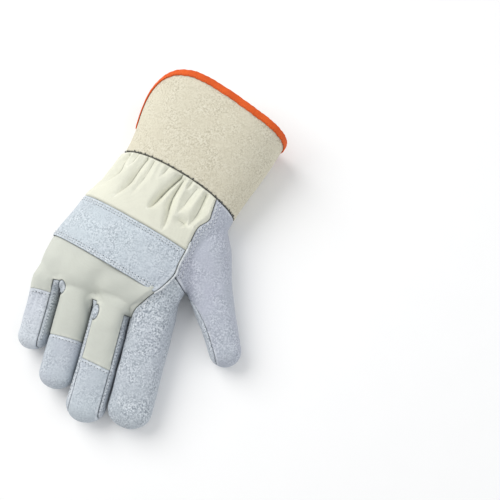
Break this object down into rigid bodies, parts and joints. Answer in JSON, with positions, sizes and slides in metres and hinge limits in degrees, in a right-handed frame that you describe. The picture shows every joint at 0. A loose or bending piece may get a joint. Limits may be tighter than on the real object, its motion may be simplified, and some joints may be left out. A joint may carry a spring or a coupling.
{
  "type": "rigger glove",
  "caption": "Right-hand work glove of pale split leather and cotton canvas, with a knuckle band, gathered wrist and stiff flared cuff bound in orange.",
  "frame": {"origin": "on the flat underside of the palm, between the knuckles and the band over them", "axes": "+Y from the fingers to the cuff, +X to the thumb's side, +Z out of the back of the hand"},
  "size_m": [0.1684, 0.2729, 0.0614],
  "materials": {
    "split_leather": "napped split leather, pale blue-grey",
    "cotton_canvas": "matt unbleached cotton canvas",
    "rubberised_canvas": "stiff rubberised canvas, beige",
    "binding_tape": "orange woven tape",
    "piping": "off-white leather piping"
  },
  "bodies": {
    "root": {"palm_leather": "split_leather", "two_finger_front": "split_leather", "thumb_back": "split_leather", "back_canvas": "cotton_canvas", "knuckle_strap": "split_leather", "wrist_canvas": "cotton_canvas", "tip_little": "split_leather", "tip_ring": "split_leather", "tip_middle": "split_leather", "back_welt": "piping", "cuff": "rubberised_canvas", "cuff_binding": "binding_tape", "palm_tongue": "split_leather"}
  },
  "joints": []
}
